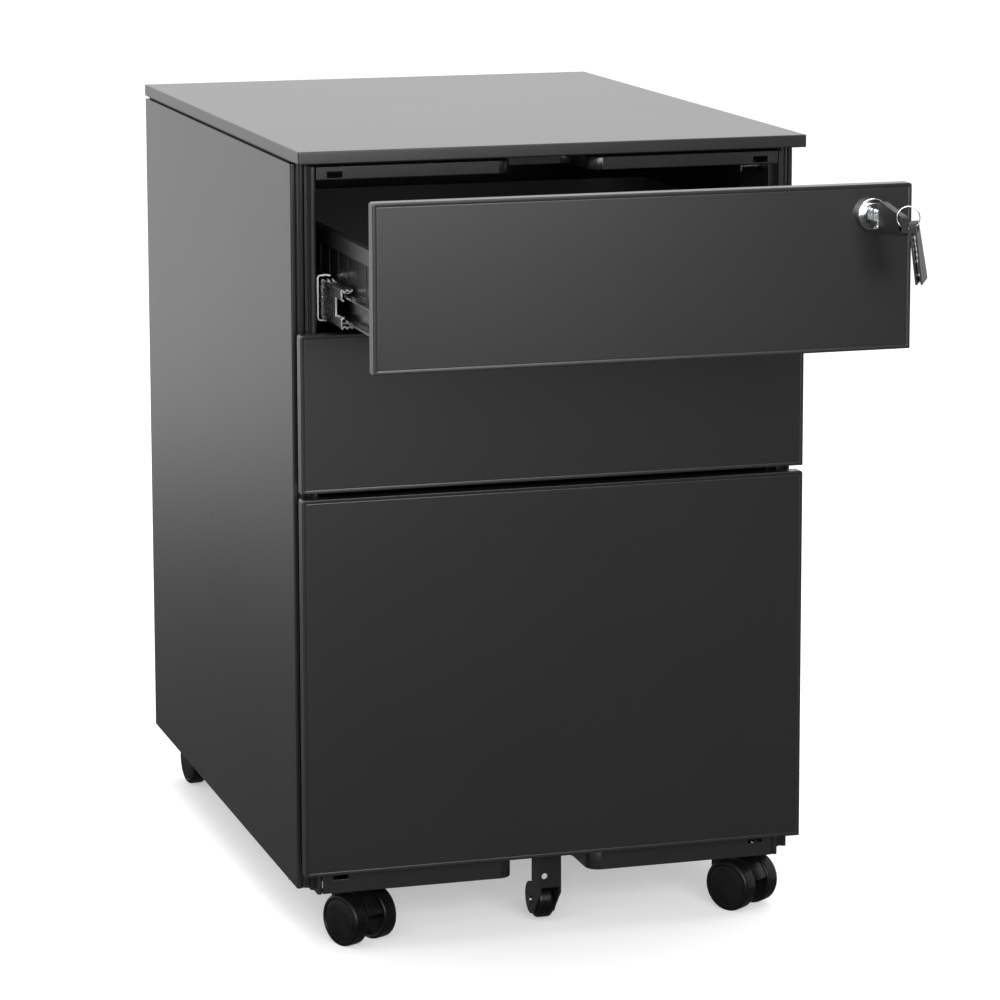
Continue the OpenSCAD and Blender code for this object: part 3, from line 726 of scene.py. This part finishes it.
def screws(node_name, axis, base_face, head):
    """Pan heads for a node's solids, all facing along axis from their low (0) or high (1) face."""
    verts, faces = head
    aim = Vector((0, 0, 1)).rotation_difference(Vector(axis)).to_matrix().to_4x4()
    build = Build()
    for i, pair in enumerate(solids_of(node_name)):
        place = (pair[0] + pair[1]) / 2
        for k in range(3):
            if axis[k]:
                place[k] = pair[base_face][k]
        move = Matrix.Translation(place) @ aim @ Matrix.Rotation(HEAD_TURN * i, 4, "Z")
        base = len(build.verts)
        build.verts.extend(move @ v for v in verts)
        build.faces.extend(tuple(base + k for k in face) for face in faces)
    build.piece(node_name + "_heads", "cabinet", "zinc", [node_name], 30)


screws("back_panel_screws", (0, 1, 0), 0, cross_head(mm(3.2), mm(1.2)))
screws("caster_screws", (0, 0, -1), 1, cross_head(mm(3), mm(1.2)))


# ---------- stage: floor, lights, camera ----------

FLOOR_SIZE = 30
FLOOR_GLOW = 0.38                          # lifts the floor to the backdrop's white


def floor():
    """A pale floor, a large plane under the casters."""
    bpy.ops.mesh.primitive_plane_add(size=FLOOR_SIZE, location=(0, 0, 0))
    plane = bpy.context.object
    plane.name = "floor"
    mat, tree, bsdf = new_material("floor")
    speck = noise(tree, coords(tree), 0.3, 3)
    pale = tint(tree, speck, (0.73, 0.73, 0.73), (0.75, 0.75, 0.75))
    tree.links.new(pale, bsdf.inputs["Base Color"])
    bsdf.inputs["Emission Color"].default_value = (1, 1, 1, 1)
    bsdf.inputs["Emission Strength"].default_value = FLOOR_GLOW
    bsdf.inputs["Roughness"].default_value = 0.9
    bsdf.inputs["Specular IOR Level"].default_value = 0.1
    plane.data.materials.append(mat)
    plane.visible_glossy = False


def studio_world():
    """A pale studio: plain white as a backdrop; in reflections a bright wall over a dark floor."""
    world = bpy.data.worlds.new("studio")
    bpy.context.scene.world = world
    world.use_nodes = True
    tree = world.node_tree
    tree.nodes.clear()
    link = tree.links.new
    out = tree.nodes.new("ShaderNodeOutputWorld")
    tex = tree.nodes.new("ShaderNodeTexCoord")
    split = tree.nodes.new("ShaderNodeSeparateXYZ")
    link(tex.outputs["Generated"], split.inputs[0])

    def step(value, at, levels):
        """A soft step between two levels."""
        node = tree.nodes.new("ShaderNodeMapRange")
        node.interpolation_type = "SMOOTHSTEP"
        node.inputs["From Min"].default_value, node.inputs["From Max"].default_value = at
        node.inputs["To Min"].default_value, node.inputs["To Max"].default_value = levels
        link(value, node.inputs["Value"])
        return node.outputs["Result"]

    def times(one, other):
        """The product of two values."""
        node = tree.nodes.new("ShaderNodeMath")
        node.operation = "MULTIPLY"
        link(one, node.inputs[0])
        link(other, node.inputs[1])
        return node.outputs["Value"]

    def plus(one, other):
        """The sum of two values."""
        node = tree.nodes.new("ShaderNodeMath")
        link(one, node.inputs[0])
        link(other, node.inputs[1])
        return node.outputs["Value"]

    across, along, up = split.outputs["X"], split.outputs["Y"], split.outputs["Z"]
    wall = plus(step(up, (-0.21, -0.17), (0.09, 0.95)), step(up, (-0.05, 0.12), (0.0, 0.28)))
    wall = times(wall, step(along, (-0.5, 0.1), (0.0, 1.0)))
    front = times(step(across, (0.12, 0.42), (1.1, 0.05)), step(up, (-0.30, -0.12), (0.06, 0.37)))
    front = times(front, step(along, (-0.5, 0.1), (1.0, 0.0)))
    level = plus(wall, front)

    lit = tree.nodes.new("ShaderNodeBackground")
    lit.inputs["Color"].default_value = (1, 1, 1, 1)
    link(level, lit.inputs["Strength"])
    seen = tree.nodes.new("ShaderNodeBackground")
    seen.inputs["Color"].default_value = (1, 1, 1, 1)
    seen.inputs["Strength"].default_value = 1.0
    path = tree.nodes.new("ShaderNodeLightPath")
    mix = tree.nodes.new("ShaderNodeMixShader")
    link(path.outputs["Is Camera Ray"], mix.inputs["Fac"])
    link(lit.outputs["Background"], mix.inputs[1])
    link(seen.outputs["Background"], mix.inputs[2])
    link(mix.outputs["Shader"], out.inputs["Surface"])


def area_light(name, place, target, size, power):
    """A soft square light at place, aimed at target."""
    data = bpy.data.lights.new(name, "AREA")
    data.shape = "RECTANGLE"
    data.size, data.size_y = size
    data.energy = power
    lamp = bpy.data.objects.new(name, data)
    bpy.context.collection.objects.link(lamp)
    lamp.location = place
    aim = Vector(target) - Vector(place)
    lamp.rotation_euler = aim.to_track_quat("-Z", "Y").to_euler()
    return lamp


def lights():
    """A large overhead softbox, a key from the left in front, and a broad panel in front."""
    area_light("overhead", (0, 0.2, 3.2), (0, 0, 0), (3.0, 3.0), 70)
    area_light("key_left", (-2.2, -2.4, 1.9), (0, -0.1, 0.35), (1.4, 1.8), 24)
    area_light("front_panel", (-0.35, -3.0, 1.15), (-0.35, 0.0, 1.15), (2.2, 1.4), 92)


FOCAL_PX = 4013.2                          # of a 1000 pixel wide frame
RISE_PX = 157.9                            # how far the lens axis is above the frame's middle
FRAME_PX = 1000
CLIP_END = 50
SENSOR = 36.0
CAM_PLACE = (mm(-878.0), FRONT_Y - mm(2785.6), mm(922.6))
CAM_YAW, CAM_PITCH, CAM_ROLL = 16.67, -9.10, -0.12


def camera():
    """A long lens, to the left of the cabinet and above it."""
    data = bpy.data.cameras.new("camera")
    data.sensor_width = SENSOR
    data.lens = FOCAL_PX / FRAME_PX * SENSOR
    data.shift_y = -RISE_PX / FRAME_PX
    data.clip_end = CLIP_END
    cam = bpy.data.objects.new("camera", data)
    bpy.context.collection.objects.link(cam)
    turn = (Matrix.Rotation(math.radians(-CAM_YAW), 4, "Z")
            @ Matrix.Rotation(math.radians(90 + CAM_PITCH), 4, "X")
            @ Matrix.Rotation(math.radians(CAM_ROLL), 4, "Z"))
    cam.matrix_world = Matrix.Translation(CAM_PLACE) @ turn
    bpy.context.scene.camera = cam


floor()
studio_world()
lights()
camera()
bpy.context.scene.view_settings.view_transform = "Standard"
